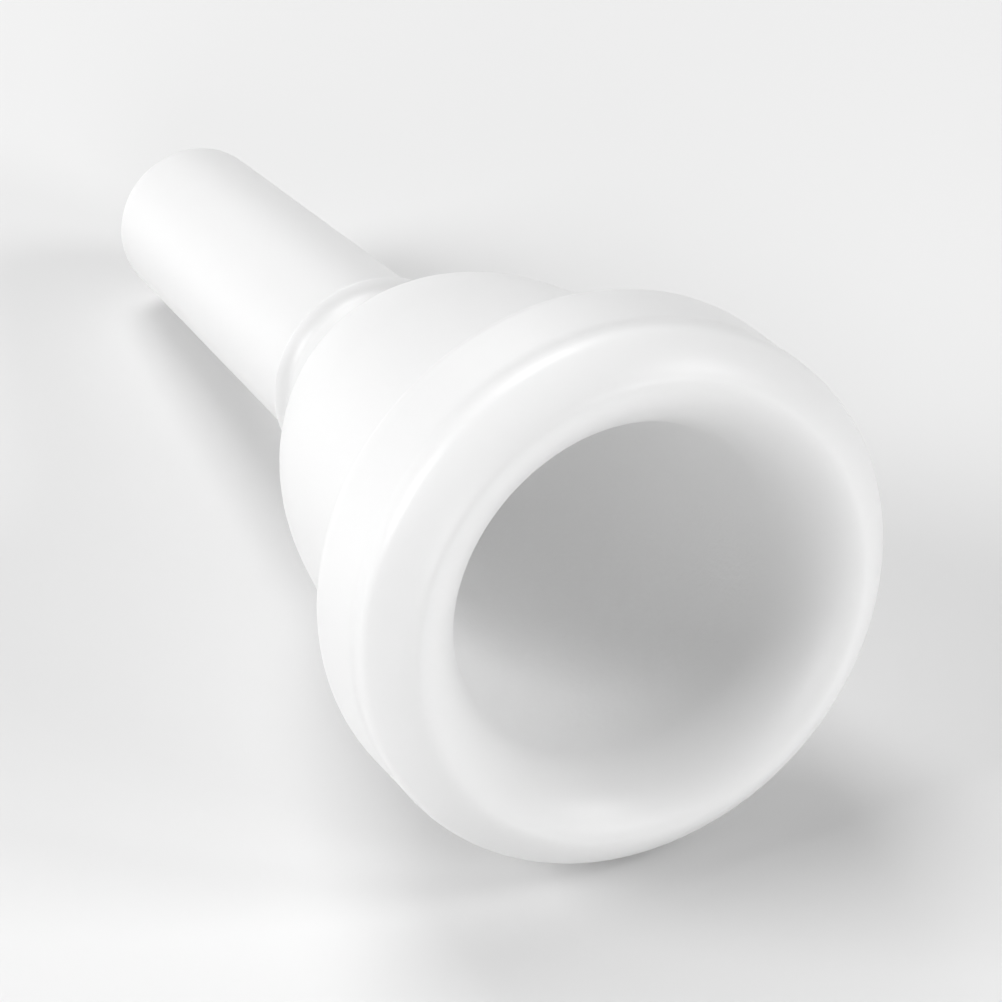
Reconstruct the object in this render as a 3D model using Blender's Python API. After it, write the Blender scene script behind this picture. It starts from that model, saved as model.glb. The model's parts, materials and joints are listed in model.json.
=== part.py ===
"""One-piece moulded plastic mouthpiece for a large brass instrument.

It lies on its side on the plane z = 0, as it does when put down: on the band behind its rim and on the
end of its shank. The cup faces -Y and the shank points to +Y. Units are metres, +Z is up, and the origin
is at the middle of the bottom of the bounding box.

The whole piece is one turned wall: the outside from the rim to the shank end, then back through the
bore and the cup. A profile point is (s, r): s runs along the axis from the front of the rim to the shank
end, r is the distance from the axis.
"""
import math

import bmesh
import bpy

MM = 0.001
SIDES = 64                    # facets around the axis, one of them flat on the ground
ARC_STEP = math.radians(15)   # longest step along a curved stretch of the profile
ARC_SAGITTA = 0.03            # furthest an arc may stand off its chord, in mm
CURVE_STEPS = 6               # pieces in each freely curved stretch
CUP_STEPS = 10
SHARP_ANGLE = math.radians(30)

# Driving dimensions, in millimetres
LENGTH = 85.1                 # front of the rim to the shank end
TIP_RADIUS = 6.6              # the shank's taper carried on to its end face
SHANK_TAPER = 0.0256          # growth of the shank's radius for each mm towards the cup
BAND_RADIUS = 20.2            # the greatest radius, round the rim
CREST_RADIUS = 17.0           # circle of the rim's foremost points
THROAT_RADIUS = 4.0

# Rim
CREST_LAND = 0.3              # half width of the flat at the very front
EDGE_ROUND = 1.8              # rounded outer edge of the rim
EDGE_S = 3.3                  # where the edge reaches the band's radius
EDGE_LEAN = math.radians(35)  # the edge's slope where the face of the rim takes over
FACE_REACH = 1.5              # how firmly the face follows that slope
PARTING_S = 4.15              # the mould's parting line round the rim
BAND_DIP = 0.04               # the band's radius is this much smaller at the parting line
BAND_END_S = 9.8              # where the band starts to turn in behind
BACK_ROUND = 1.9
BACK_TURN = math.radians(75)  # how far that turn goes before the body takes over
BITE_DEPTH = 5.0              # depth at which the inner edge of the rim passes into the cup's wall
BITE_RADIUS = 12.49
BITE_REACH = 3.46             # how firmly the inner edge carries the wall's slope on
CREST_REACH = 1.15            # and how far the crest's flatness reaches inwards

# Body
BODY_START_S = 13.4
BODY_START_RADIUS = 17.2
BODY_TAPER = math.radians(9.75)
BELLY_S = 28.5                # where the cone starts to round off
BELLY_ROUND = 25.9
BODY_END_LEAN = math.radians(46)

# Neck and shank
WAIST_RADIUS = 7.5
RING_S = 46.2                 # sharp front edge of the ring that ends the shank
RING_RADIUS = 8.3
RING_LAND = 0.2
RING_LEAN = math.radians(32)  # slope of the cove where it meets the ring's edge
RING_COVE = 1.7               # length of the cove in front of the ring
RING_FLARE = 1.3              # the shank flares up to the ring over this length
TIP_ROUND = 1.2
TIP_CHAMFER = 0.2

# Inside
THROAT_START_S = 30.0
THROAT_END_S = 34.0
CUP_LEAN = math.radians(14)   # slope of the cup's wall near the rim
WALL_REACH = 9.0
FOOT_LEAN = math.radians(40)  # slope where the cup's foot meets the throat
FOOT_REACH = 6.0
BACKBORE_RADIUS = 4.7         # at the shank end


def arc(centre_s, centre_r, radius_s, radius_r, start, end):
    """Points of an elliptic arc; an angle of 0 points to the front and 90 degrees away from the axis."""
    step = min(ARC_STEP, 2 * math.acos(1 - ARC_SAGITTA / max(radius_s, radius_r)))
    steps = max(2, math.ceil(abs(end - start) / step))
    angles = [start + (end - start) * i / steps for i in range(steps + 1)]
    return [(centre_s - radius_s * math.cos(a), centre_r + radius_r * math.sin(a)) for a in angles]


def blend(a, b, c, d, steps=CURVE_STEPS):
    """Points of the cubic Bezier curve from a to d, which leaves a towards b and reaches d from c."""
    points = []
    for i in range(steps + 1):
        t = i / steps
        weights = ((1 - t) ** 3, 3 * t * (1 - t) ** 2, 3 * t * t * (1 - t), t ** 3)
        points.append(tuple(sum(w * p[k] for w, p in zip(weights, (a, b, c, d))) for k in range(2)))
    return points


def shank_radius(s):
    return TIP_RADIUS + SHANK_TAPER * (LENGTH - s)


def rim_outside():
    """Front land, face, rounded edge, parting line, band, and the turn inwards behind it to the body."""
    edge = arc(EDGE_S, BAND_RADIUS - EDGE_ROUND, EDGE_ROUND, EDGE_ROUND, math.pi / 2 - EDGE_LEAN, math.pi / 2)
    outer = edge[0]
    land = CREST_RADIUS + CREST_LAND
    leaving = (outer[0] - FACE_REACH * math.cos(EDGE_LEAN), outer[1] - FACE_REACH * math.sin(EDGE_LEAN))
    face = blend((0.0, land), (0.0, land + FACE_REACH / 2), leaving, outer)
    parting = (PARTING_S, BAND_RADIUS - BAND_DIP)
    back_end = math.pi / 2 + BACK_TURN
    back = arc(BAND_END_S, BAND_RADIUS - BACK_ROUND, BACK_ROUND, BACK_ROUND, math.pi / 2, back_end)
    return face + edge[1:] + [parting] + back


def body_outside():
    """A long cone that rounds off towards the neck."""
    belly_radius = BODY_START_RADIUS - math.tan(BODY_TAPER) * (BELLY_S - BODY_START_S)
    centre_s = BELLY_S - BELLY_ROUND * math.sin(BODY_TAPER)
    centre_r = belly_radius - BELLY_ROUND * math.cos(BODY_TAPER)
    cone = [(BODY_START_S, BODY_START_RADIUS)]
    belly = arc(centre_s, centre_r, BELLY_ROUND, BELLY_ROUND,
                math.pi / 2 + BODY_TAPER, math.pi / 2 + BODY_END_LEAN)
    return cone + belly


def neck_and_shank():
    """Waist, the coved ring that ends the shank, the tapered shank and its rounded end."""
    reach = RING_COVE / 2
    cove = blend(
        (RING_S - RING_COVE, WAIST_RADIUS),
        (RING_S - reach, WAIST_RADIUS),
        (RING_S - reach * math.cos(RING_LEAN), RING_RADIUS - reach * math.sin(RING_LEAN)),
        (RING_S, RING_RADIUS),
    )
    flare_end = RING_S + RING_LAND + RING_FLARE
    foot = shank_radius(flare_end)
    flare = arc(flare_end, RING_RADIUS, RING_FLARE, RING_RADIUS - foot, 0.0, -math.pi / 2)
    end = arc(LENGTH - TIP_ROUND, TIP_RADIUS - TIP_ROUND, TIP_ROUND, TIP_ROUND, math.pi / 2, math.pi)
    return cove + flare + end


def inside():
    """From the shank end through the backbore, the throat and the cup to the front of the rim."""
    bore = [
        (LENGTH, BACKBORE_RADIUS + TIP_CHAMFER),
        (LENGTH - TIP_CHAMFER, BACKBORE_RADIUS),
        (THROAT_END_S, THROAT_RADIUS),
    ]
    wall = blend(
        (THROAT_START_S, THROAT_RADIUS),
        (THROAT_START_S - FOOT_REACH * math.cos(FOOT_LEAN), THROAT_RADIUS + FOOT_REACH * math.sin(FOOT_LEAN)),
        (BITE_DEPTH + WALL_REACH * math.cos(CUP_LEAN), BITE_RADIUS - WALL_REACH * math.sin(CUP_LEAN)),
        (BITE_DEPTH, BITE_RADIUS),
        CUP_STEPS,
    )
    land = CREST_RADIUS - CREST_LAND
    bite = blend(
        (BITE_DEPTH, BITE_RADIUS),
        (BITE_DEPTH - BITE_REACH * math.cos(CUP_LEAN), BITE_RADIUS + BITE_REACH * math.sin(CUP_LEAN)),
        (0.0, land - CREST_REACH),
        (0.0, land),
    )
    return bore + wall + bite[1:]


def resting_tilt(profile):
    """Angle between the axis and the ground that the outer profile touches at the band and the shank end."""
    start = max(profile, key=lambda p: p[1])
    while True:
        ahead = [p for p in profile if p[0] > start[0]]
        following = max(ahead, key=lambda p: (p[1] - start[1]) / (p[0] - start[0]))
        if following[0] - start[0] > LENGTH / 2:
            slope = (start[1] - following[1]) / (following[0] - start[0])
            return math.atan(slope * math.cos(math.pi / SIDES))
        start = following


def turned_mesh(name, profile):
    """Closed wall made by turning a closed profile about the Y axis."""
    bm = bmesh.new()
    rings = []
    for s, r in profile:
        ring = []
        for i in range(SIDES):
            angle = 2 * math.pi * (i + 0.5) / SIDES
            ring.append(bm.verts.new((r * math.cos(angle) * MM, s * MM, r * math.sin(angle) * MM)))
        rings.append(ring)
    for a, b in zip(rings, rings[1:] + rings[:1]):
        for i in range(SIDES):
            j = (i + 1) % SIDES
            bm.faces.new((a[i], a[j], b[j], b[i]))
    bmesh.ops.recalc_face_normals(bm, faces=bm.faces)
    mesh = bpy.data.meshes.new(name)
    bm.to_mesh(mesh)
    bm.free()
    mesh.shade_smooth()
    mesh.set_sharp_from_angle(angle=SHARP_ANGLE)
    return mesh


def white_plastic():
    material = bpy.data.materials.new("white_plastic")
    material.use_nodes = True
    shader = material.node_tree.nodes["Principled BSDF"]
    shader.inputs["Base Color"].default_value = (0.86, 0.86, 0.85, 1.0)
    shader.inputs["Roughness"].default_value = 0.3
    shader.inputs["Metallic"].default_value = 0.0
    return material


def lay_down(mouthpiece, tilt):
    """Tip the axis by the resting tilt and put the bottom middle of the bounding box at the origin."""
    mouthpiece.rotation_euler = (-tilt, 0.0, 0.0)
    turned = mouthpiece.rotation_euler.to_matrix()
    corners = [turned @ v.co for v in mouthpiece.data.vertices]
    along = [c.y for c in corners]
    mouthpiece.location = (0.0, -(min(along) + max(along)) / 2, -min(c.z for c in corners))


def main():
    for old in list(bpy.data.objects):
        bpy.data.objects.remove(old, do_unlink=True)
    outside = rim_outside() + body_outside() + neck_and_shank()
    mouthpiece = bpy.data.objects.new("mouthpiece", turned_mesh("mouthpiece", outside + inside()))
    mouthpiece.data.materials.append(white_plastic())
    bpy.context.scene.collection.objects.link(mouthpiece)
    lay_down(mouthpiece, resting_tilt(outside))


main()
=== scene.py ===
"""The looks of a one-piece moulded plastic mouthpiece: its fine turned surface, the white plastic, a pale
floor, soft studio light and the camera.

Lengths along and across the mouthpiece are in millimetres: a profile point is (s, r), with s along the
axis from the front of the rim to the shank end, and r from the axis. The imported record's mounts say where
the axis lies. Everything else is in metres.
"""
import json
import math

import bpy
from mathutils import Matrix, Vector, noise

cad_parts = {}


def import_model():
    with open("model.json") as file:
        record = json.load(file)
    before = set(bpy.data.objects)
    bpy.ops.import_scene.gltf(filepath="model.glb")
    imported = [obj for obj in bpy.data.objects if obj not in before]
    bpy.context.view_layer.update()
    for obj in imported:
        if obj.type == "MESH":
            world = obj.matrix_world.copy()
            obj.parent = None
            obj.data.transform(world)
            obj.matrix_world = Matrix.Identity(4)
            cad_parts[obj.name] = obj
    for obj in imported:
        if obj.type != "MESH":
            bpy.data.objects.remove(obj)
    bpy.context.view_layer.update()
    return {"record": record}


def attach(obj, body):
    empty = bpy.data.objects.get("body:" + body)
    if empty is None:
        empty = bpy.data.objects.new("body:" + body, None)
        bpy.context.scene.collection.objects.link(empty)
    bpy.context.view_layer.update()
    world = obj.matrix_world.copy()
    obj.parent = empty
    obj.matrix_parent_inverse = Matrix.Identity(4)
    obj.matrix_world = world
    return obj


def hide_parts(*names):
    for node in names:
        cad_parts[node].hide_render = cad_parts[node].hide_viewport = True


MM = 0.001
SIDES = 300                   # facets round the axis
ARC_STEP = math.radians(4)    # longest step along a circular stretch of the profile
CONE_STEP = 1.0               # longest step along a straight stretch, in mm
FACE_STEPS = 24               # steps in each freely curved stretch
COVE_STEPS = 12
WALL_STEPS = 40
BITE_STEPS = 36
SHARP_ANGLE = math.radians(30)

# Driving dimensions of the mouthpiece, in millimetres
TIP_RADIUS = 6.6              # the shank's taper carried on to its end face
SHANK_TAPER = 0.0256          # growth of the shank's radius for each mm towards the cup
BAND_RADIUS = 20.2            # the greatest radius, round the rim
CREST_RADIUS = 17.0           # circle of the rim's foremost points
THROAT_RADIUS = 4.0

# Rim
EDGE_ROUND = 1.8              # rounded outer edge of the rim
EDGE_S = 3.3                  # where the edge reaches the band's radius
EDGE_LEAN = math.radians(35)  # the edge's slope where the face of the rim takes over
FACE_REACH = 1.5              # how firmly the face follows that slope
PARTING_S = 4.15              # the mould's parting line round the rim
PARTING_STEP = 0.03           # the band starts this much lower than the face's side of the line
PARTING_WIDTH = 0.1           # length of that step along the axis
FLASH_HEIGHT = 0.02           # height of the thin flash on the line where noise and lift come to 1
FLASH_WAVES = 14.0            # radius of the circle along which the noise is read, in waves
FLASH_LIFT = 0.35             # added to the noise, so that most of the line has flash
BAND_END_S = 9.8              # where the band starts to turn in behind
BACK_ROUND = 1.9
BACK_TURN = math.radians(75)  # how far that turn goes before the body takes over
BITE_DEPTH = 5.0              # depth at which the inner edge of the rim passes into the cup's wall
BITE_RADIUS = 12.49
BITE_REACH = 3.46             # how firmly the inner edge carries the wall's slope on
CREST_REACH = 1.15            # and how far the crest's flatness reaches inwards

# Body
BODY_START_S = 13.4
BODY_START_RADIUS = 17.2
BODY_TAPER = math.radians(9.75)
BELLY_S = 28.5                # where the cone starts to round off
BELLY_ROUND = 25.9
BODY_END_LEAN = math.radians(46)

# Neck and shank
WAIST_RADIUS = 7.5
RING_S = 46.2                 # front edge of the ring that ends the shank
RING_RADIUS = 8.3
RING_LAND = 0.2
RING_LEAN = math.radians(32)  # slope of the cove where it meets the ring's edge
RING_COVE = 1.7               # length of the cove in front of the ring
RING_FLARE = 1.3              # the shank flares up to the ring over this length
TIP_ROUND = 1.2
TIP_CHAMFER = 0.2

# Inside
THROAT_START_S = 30.0
THROAT_END_S = 34.0
CUP_LEAN = math.radians(14)   # slope of the cup's wall near the rim
WALL_REACH = 9.0
FOOT_LEAN = math.radians(40)  # slope where the cup's foot meets the throat
FOOT_REACH = 6.0
BACKBORE_RADIUS = 4.7         # at the shank end
MATTE_START_S = 4.0           # where the rim's gloss starts to give way to the matte cup
MATTE_FADE = 4.0              # length over which it does

# White plastic: depths and heights are in metres
PLASTIC_WHITE = (0.78, 0.78, 0.78, 1.0)
PLASTIC_IOR = 1.45
SCATTER_WEIGHT = 0.4          # share of the white that lets light scatter under the surface
SCATTER_DEPTH = 0.0008
SCATTER_COLOURS = (1.0, 1.0, 1.0)  # share of that depth that red, green and blue reach
GLOSSY_ROUGHNESS = (0.32, 0.42)
MATTE_ROUGHNESS = 0.6
HANDLING_SCALE = 60.0         # patches per metre where the gloss varies
HANDLING_DETAIL = 3.0
WAVES_SCALE = 450.0           # waves per metre of the moulded surface
WAVES_DETAIL = 1.0
WAVES_HEIGHT = 0.000008
WAVES_STRENGTH = 1.0
GRAIN_SCALE = 2600.0          # grains per metre of the matte surface
GRAIN_DETAIL = 2.0
GRAIN_HEIGHT = 0.00003
SPECK_GREY = (0.35, 0.34, 0.33, 1.0)
SPECK_SCALE = 250.0           # possible places of a speck per metre
SPECK_SHARE = 0.03            # the share of them that has one
SPECK_SIZE = 0.03             # radius as a share of the distance between places

# Floor, in metres
FLOOR_HALF = 1.5
FLOOR_GREY = (0.75, 0.75, 0.75, 1.0)
FLOOR_ROUGHNESS = 0.9

# Camera: a long lens, looking down on the cup from its left
LENS = 143.41                 # mm
SENSOR_WIDTH = 36.0           # mm
LOOK_AZIMUTH = math.radians(26.01)
LOOK_DOWN = math.radians(36.32)
TARGET_S = 5.697              # this point of the axis is where the camera is set out from
TARGET_RIGHT = 7.565          # mm that it lies to the right of the line of sight
TARGET_BELOW = 5.792          # and below it
TARGET_AWAY = 277.095         # mm along the line of sight

# Studio light: name, azimuth from +X towards +Y and height over the floor in degrees, size in m, power in W
LIGHT_DISTANCE = 1.0
LIGHT_AIM = 0.02              # height in m of the point that they are aimed at
WORLD_WHITE = (1.0, 1.0, 1.0, 1.0)
WORLD_STRENGTH = 0.16
LIGHTS = (
    ("left_softbox", 165.0, 28.0, 0.5, 7.0),
    ("back_softbox", 90.0, 65.0, 0.5, 3.7),
    ("back_fill", 90.0, 42.0, 0.5, 1.6),
    ("right_softbox", 322.0, 34.0, 0.3, 2.9),
    ("front_right_softbox", 299.0, 18.0, 0.3, 2.5),
    ("front_left_fill", 248.0, 14.0, 0.35, 2.1),
)


def arc(centre_s, centre_r, radius_s, radius_r, start, end):
    """Points of an elliptic arc; an angle of 0 points to the front and 90 degrees away from the axis."""
    steps = max(2, math.ceil(abs(end - start) / ARC_STEP))
    angles = [start + (end - start) * i / steps for i in range(steps + 1)]
    return [(centre_s - radius_s * math.cos(a), centre_r + radius_r * math.sin(a)) for a in angles]


def blend(a, b, c, d, steps):
    """Points of the cubic Bezier curve from a to d, which leaves a towards b and reaches d from c."""
    points = []
    for i in range(steps + 1):
        t = i / steps
        weights = ((1 - t) ** 3, 3 * t * (1 - t) ** 2, 3 * t * t * (1 - t), t ** 3)
        points.append(tuple(sum(w * p[k] for w, p in zip(weights, (a, b, c, d))) for k in range(2)))
    return points


def straight(a, b):
    """Points from a to b, both included, close enough together for the surface to stay even."""
    steps = max(1, math.ceil(math.dist(a, b) / CONE_STEP))
    return [tuple(p + (q - p) * i / steps for p, q in zip(a, b)) for i in range(steps + 1)]


class Axis:
    """Where the mouthpiece lies: its front, its direction, the side up from the axis, and its length."""

    def __init__(self, record):
        mounts = {mount["name"]: mount for mount in record["mounts"]}
        self.front = Vector(mounts["rim_crest"]["pos_m"])
        self.front.x = 0.0
        tip = Vector(mounts["shank_end"]["pos_m"])
        tip.x = 0.0
        self.along = (tip - self.front).normalized()
        self.up = Vector((1.0, 0.0, 0.0)).cross(self.along)
        self.length = (tip - self.front).length / MM

    def point(self, s, r=0.0, angle=0.0):
        """The profile point (s, r) at an angle round the axis, counted from +X towards the upper side."""
        side = Vector((math.cos(angle), 0.0, 0.0)) + self.up * math.sin(angle)
        return self.front + self.along * (s * MM) + side * (r * MM)


def rim_outside():
    """Face, rounded edge, the low step of the parting line, band, and the turn inwards behind it."""
    edge = arc(EDGE_S, BAND_RADIUS - EDGE_ROUND, EDGE_ROUND, EDGE_ROUND, math.pi / 2 - EDGE_LEAN, math.pi / 2)
    outer = edge[0]
    leaving = (outer[0] - FACE_REACH * math.cos(EDGE_LEAN), outer[1] - FACE_REACH * math.sin(EDGE_LEAN))
    face = blend((0.0, CREST_RADIUS), (0.0, CREST_RADIUS + FACE_REACH / 2), leaving, outer, FACE_STEPS)
    band = straight((PARTING_S + PARTING_WIDTH, BAND_RADIUS - PARTING_STEP), (BAND_END_S, BAND_RADIUS))
    back_end = math.pi / 2 + BACK_TURN
    back = arc(BAND_END_S, BAND_RADIUS - BACK_ROUND, BACK_ROUND, BACK_ROUND, math.pi / 2, back_end)
    return face + edge[1:] + [(PARTING_S, BAND_RADIUS)] + band + back[1:]


def body_outside():
    """A long cone that rounds off towards the neck."""
    belly_radius = BODY_START_RADIUS - math.tan(BODY_TAPER) * (BELLY_S - BODY_START_S)
    centre_s = BELLY_S - BELLY_ROUND * math.sin(BODY_TAPER)
    centre_r = belly_radius - BELLY_ROUND * math.cos(BODY_TAPER)
    cone = straight((BODY_START_S, BODY_START_RADIUS), (BELLY_S, belly_radius))
    belly = arc(centre_s, centre_r, BELLY_ROUND, BELLY_ROUND,
                math.pi / 2 + BODY_TAPER, math.pi / 2 + BODY_END_LEAN)
    return cone + belly[1:]


def neck_and_shank(length):
    """Waist, the coved ring that ends the shank, the tapered shank and its rounded end."""
    reach = RING_COVE / 2
    cove = blend(
        (RING_S - RING_COVE, WAIST_RADIUS),
        (RING_S - reach, WAIST_RADIUS),
        (RING_S - reach * math.cos(RING_LEAN), RING_RADIUS - reach * math.sin(RING_LEAN)),
        (RING_S, RING_RADIUS),
        COVE_STEPS,
    )
    flare_end = RING_S + RING_LAND + RING_FLARE
    foot = TIP_RADIUS + SHANK_TAPER * (length - flare_end)
    flare = arc(flare_end, RING_RADIUS, RING_FLARE, RING_RADIUS - foot, 0.0, -math.pi / 2)
    shank = straight(flare[-1], (length - TIP_ROUND, TIP_RADIUS))
    end = arc(length - TIP_ROUND, TIP_RADIUS - TIP_ROUND, TIP_ROUND, TIP_ROUND, math.pi / 2, math.pi)
    return cove + flare + shank[1:] + end[1:]


def bore(length):
    """From the shank end through the backbore to the throat."""
    backbore = straight((length - TIP_CHAMFER, BACKBORE_RADIUS), (THROAT_END_S, THROAT_RADIUS))
    return [(length, BACKBORE_RADIUS + TIP_CHAMFER)] + backbore


def cup_inside():
    """From the throat up the wall of the cup and over the inner edge of the rim to its crest."""
    wall = blend(
        (THROAT_START_S, THROAT_RADIUS),
        (THROAT_START_S - FOOT_REACH * math.cos(FOOT_LEAN), THROAT_RADIUS + FOOT_REACH * math.sin(FOOT_LEAN)),
        (BITE_DEPTH + WALL_REACH * math.cos(CUP_LEAN), BITE_RADIUS - WALL_REACH * math.sin(CUP_LEAN)),
        (BITE_DEPTH, BITE_RADIUS),
        WALL_STEPS,
    )
    bite = blend(
        (BITE_DEPTH, BITE_RADIUS),
        (BITE_DEPTH - BITE_REACH * math.cos(CUP_LEAN), BITE_RADIUS + BITE_REACH * math.sin(CUP_LEAN)),
        (0.0, CREST_RADIUS - CREST_REACH),
        (0.0, CREST_RADIUS),
        BITE_STEPS,
    )
    return wall + bite[1:-1]


def flash_height(angle):
    """Uneven height of the flash round the parting line, in mm."""
    around = Vector((math.cos(angle), math.sin(angle), 0.0)) * FLASH_WAVES
    return FLASH_HEIGHT * max(0.0, noise.noise(around) + FLASH_LIFT)


def inner_matte(s):
    """How matte the inner wall is: 0 at the rim's crest, 1 deep in the cup and in the bore."""
    return min(1.0, max(0.0, (s - MATTE_START_S) / MATTE_FADE))


def ring_of_points(axis, s, r):
    """The profile point (s, r) turned once round the axis, with the flash on it at the parting line."""
    is_parting = (s, r) == (PARTING_S, BAND_RADIUS)
    points = []
    for i in range(SIDES):
        angle = 2 * math.pi * i / SIDES
        height = flash_height(angle) if is_parting else 0.0
        points.append(axis.point(s, r + height, angle))
    return points


def wall_faces(rings):
    """Quads from each ring of points to the next, and from the last one back to the first."""
    faces = []
    for ring in range(rings):
        here = ring * SIDES
        there = (ring + 1) % rings * SIDES
        for i in range(SIDES):
            j = (i + 1) % SIDES
            faces.append((here + i, here + j, there + j, there + i))
    return faces


def mouthpiece_mesh(axis):
    """The closed wall, turned round the axis, with how matte the surface is stored at each point."""
    outside = rim_outside() + body_outside() + neck_and_shank(axis.length)
    inside = bore(axis.length) + cup_inside()
    matte_rings = [0.0] * len(outside) + [inner_matte(s) for s, _ in inside]
    points = [point for s, r in outside + inside for point in ring_of_points(axis, s, r)]
    matte = [share for share in matte_rings for _ in range(SIDES)]
    mesh = bpy.data.meshes.new("mouthpiece_skin")
    mesh.from_pydata(points, [], wall_faces(len(matte_rings)))
    mesh.attributes.new("matte", "FLOAT", "POINT").data.foreach_set("value", matte)
    mesh.shade_smooth()
    mesh.set_sharp_from_angle(angle=SHARP_ANGLE)
    return mesh


def noise_texture(nodes, links, place, scale, detail):
    """A noise that is fixed to the object, with scale in waves per metre."""
    texture = nodes.new("ShaderNodeTexNoise")
    texture.inputs["Scale"].default_value = scale
    texture.inputs["Detail"].default_value = detail
    links.new(place.outputs["Object"], texture.inputs["Vector"])
    return texture


def add_roughness(nodes, links, shader, place, matte):
    """Softly glossy outside, matte in the cup, and a little uneven from place to place."""
    handling = noise_texture(nodes, links, place, HANDLING_SCALE, HANDLING_DETAIL)
    glossy = nodes.new("ShaderNodeMapRange")
    glossy.inputs["To Min"].default_value = GLOSSY_ROUGHNESS[0]
    glossy.inputs["To Max"].default_value = GLOSSY_ROUGHNESS[1]
    links.new(handling.outputs["Fac"], glossy.inputs["Value"])
    mix = nodes.new("ShaderNodeMix")
    mix.inputs["B"].default_value = MATTE_ROUGHNESS
    links.new(matte.outputs["Fac"], mix.inputs["Factor"])
    links.new(glossy.outputs["Result"], mix.inputs["A"])
    links.new(mix.outputs["Result"], shader.inputs["Roughness"])


def add_surface_grain(nodes, links, shader, place, matte):
    """Long soft waves left by the mould everywhere, and a fine grain on the matte surface in the cup."""
    waves = noise_texture(nodes, links, place, WAVES_SCALE, WAVES_DETAIL)
    soft = nodes.new("ShaderNodeBump")
    soft.inputs["Strength"].default_value = WAVES_STRENGTH
    soft.inputs["Distance"].default_value = WAVES_HEIGHT
    links.new(waves.outputs["Fac"], soft.inputs["Height"])
    grain = noise_texture(nodes, links, place, GRAIN_SCALE, GRAIN_DETAIL)
    fine = nodes.new("ShaderNodeBump")
    fine.inputs["Distance"].default_value = GRAIN_HEIGHT
    links.new(matte.outputs["Fac"], fine.inputs["Strength"])
    links.new(grain.outputs["Fac"], fine.inputs["Height"])
    links.new(soft.outputs["Normal"], fine.inputs["Normal"])
    links.new(fine.outputs["Normal"], shader.inputs["Normal"])


def add_specks(nodes, links, shader, place):
    """A few tiny grey specks in the white, as recycled or dusty granulate leaves them."""
    cells = nodes.new("ShaderNodeTexVoronoi")
    cells.inputs["Scale"].default_value = SPECK_SCALE
    links.new(place.outputs["Object"], cells.inputs["Vector"])
    chosen = nodes.new("ShaderNodeSeparateColor")
    links.new(cells.outputs["Color"], chosen.inputs["Color"])
    rare = nodes.new("ShaderNodeMath")
    rare.operation = "LESS_THAN"
    rare.inputs[1].default_value = SPECK_SHARE
    links.new(chosen.outputs["Red"], rare.inputs[0])
    near = nodes.new("ShaderNodeMapRange")
    near.inputs["From Min"].default_value = SPECK_SIZE
    near.inputs["From Max"].default_value = SPECK_SIZE / 2
    links.new(cells.outputs["Distance"], near.inputs["Value"])
    speck = nodes.new("ShaderNodeMath")
    speck.operation = "MULTIPLY"
    links.new(rare.outputs["Value"], speck.inputs[0])
    links.new(near.outputs["Result"], speck.inputs[1])
    colour = nodes.new("ShaderNodeMix")
    colour.data_type = "RGBA"
    colour.inputs["A"].default_value = PLASTIC_WHITE
    colour.inputs["B"].default_value = SPECK_GREY
    links.new(speck.outputs["Value"], colour.inputs["Factor"])
    links.new(colour.outputs["Result"], shader.inputs["Base Color"])


def white_plastic():
    """White moulded plastic, softly glossy outside and finely matte in the cup."""
    material = bpy.data.materials.new("white_plastic")
    material.use_nodes = True
    nodes = material.node_tree.nodes
    links = material.node_tree.links
    shader = nodes["Principled BSDF"]
    shader.inputs["IOR"].default_value = PLASTIC_IOR
    shader.inputs["Subsurface Weight"].default_value = SCATTER_WEIGHT
    shader.inputs["Subsurface Radius"].default_value = SCATTER_COLOURS
    shader.inputs["Subsurface Scale"].default_value = SCATTER_DEPTH
    place = nodes.new("ShaderNodeTexCoord")
    matte = nodes.new("ShaderNodeAttribute")
    matte.attribute_name = "matte"
    add_roughness(nodes, links, shader, place, matte)
    add_surface_grain(nodes, links, shader, place, matte)
    add_specks(nodes, links, shader, place)
    return material


def make_mouthpiece(axis):
    """The visible mouthpiece, in place of the CAD one."""
    mouthpiece = bpy.data.objects.new("mouthpiece_skin", mouthpiece_mesh(axis))
    mouthpiece.data.materials.append(white_plastic())
    bpy.context.scene.collection.objects.link(mouthpiece)
    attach(mouthpiece, "root")
    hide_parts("mouthpiece")


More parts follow.
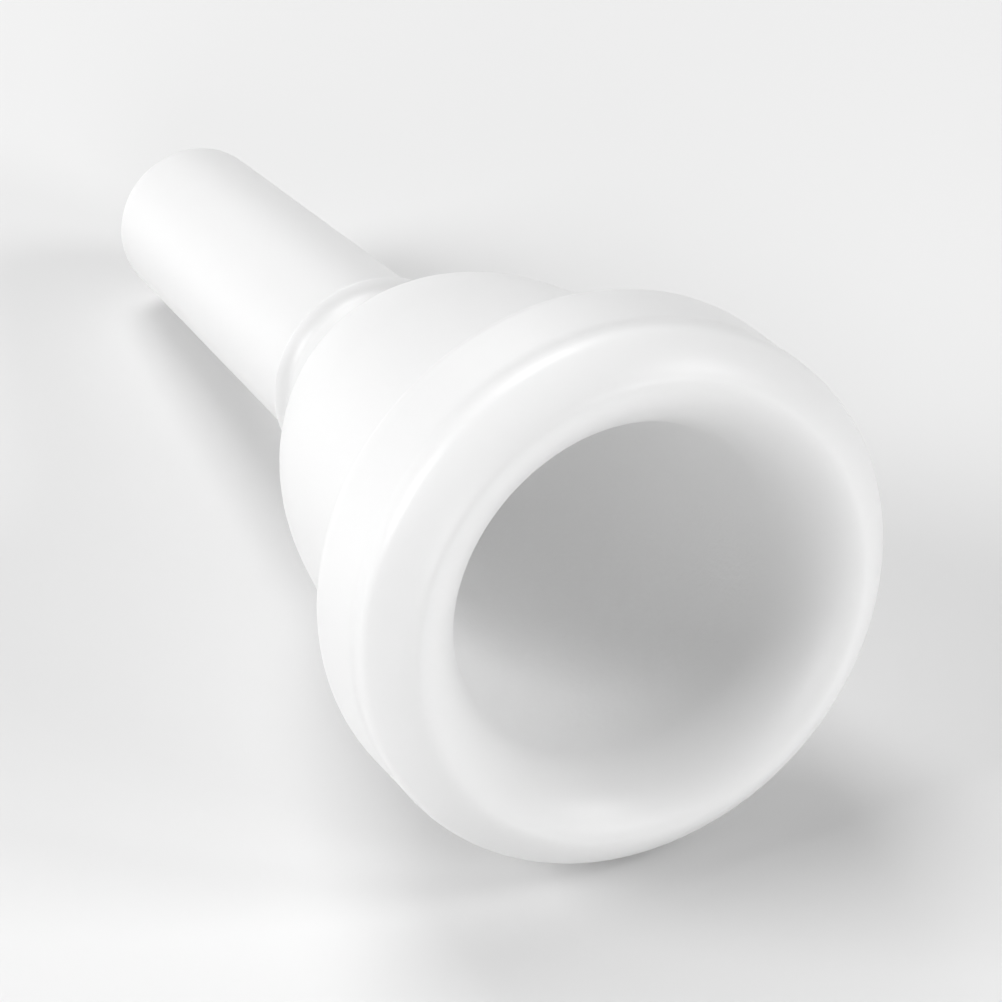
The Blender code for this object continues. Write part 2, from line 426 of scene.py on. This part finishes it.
def make_floor():
    """A plain pale square on the plane that the mouthpiece lies on."""
    corners = [(x * FLOOR_HALF, y * FLOOR_HALF, 0.0) for x, y in ((-1, -1), (1, -1), (1, 1), (-1, 1))]
    mesh = bpy.data.meshes.new("floor")
    mesh.from_pydata(corners, [], [(0, 1, 2, 3)])
    floor = bpy.data.objects.new("floor", mesh)
    material = bpy.data.materials.new("pale_floor")
    material.use_nodes = True
    shader = material.node_tree.nodes["Principled BSDF"]
    shader.inputs["Base Color"].default_value = FLOOR_GREY
    shader.inputs["Roughness"].default_value = FLOOR_ROUGHNESS
    mesh.materials.append(material)
    bpy.context.scene.collection.objects.link(floor)


def make_camera(axis):
    """The camera, set out from a point of the axis by the distances that the constants give."""
    ahead = Vector((math.sin(LOOK_AZIMUTH) * math.cos(LOOK_DOWN),
                    math.cos(LOOK_AZIMUTH) * math.cos(LOOK_DOWN),
                    -math.sin(LOOK_DOWN)))
    right = Vector((math.cos(LOOK_AZIMUTH), -math.sin(LOOK_AZIMUTH), 0.0))
    up = right.cross(ahead)
    data = bpy.data.cameras.new("camera")
    data.lens = LENS
    data.sensor_width = SENSOR_WIDTH
    camera = bpy.data.objects.new("camera", data)
    away = (right * TARGET_RIGHT - up * TARGET_BELOW + ahead * TARGET_AWAY) * MM
    turn = Matrix((right, up, -ahead)).transposed().to_4x4()
    camera.matrix_world = Matrix.Translation(axis.point(TARGET_S) - away) @ turn
    bpy.context.scene.collection.objects.link(camera)
    bpy.context.scene.camera = camera


def make_light(name, azimuth, elevation, size, power):
    """A square soft light, aimed at the mouthpiece. Azimuth is counted from +X towards +Y, in degrees."""
    a = math.radians(azimuth)
    e = math.radians(elevation)
    towards = Vector((math.cos(a) * math.cos(e), math.sin(a) * math.cos(e), math.sin(e)))
    data = bpy.data.lights.new(name, "AREA")
    data.shape = "SQUARE"
    data.size = size
    data.energy = power
    light = bpy.data.objects.new(name, data)
    light.location = Vector((0.0, 0.0, LIGHT_AIM)) + towards * LIGHT_DISTANCE
    light.rotation_euler = (-towards).to_track_quat("-Z", "Y").to_euler()
    bpy.context.scene.collection.objects.link(light)


def make_world():
    """Even white light from all round, to lift the shadows."""
    world = bpy.data.worlds.new("studio")
    world.use_nodes = True
    background = world.node_tree.nodes["Background"]
    background.inputs["Color"].default_value = WORLD_WHITE
    background.inputs["Strength"].default_value = WORLD_STRENGTH
    bpy.context.scene.world = world


def main():
    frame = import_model()
    axis = Axis(frame["record"])
    bpy.context.scene.view_settings.view_transform = "Standard"
    make_mouthpiece(axis)
    make_floor()
    make_camera(axis)
    make_world()
    for light in LIGHTS:
        make_light(*light)


main()
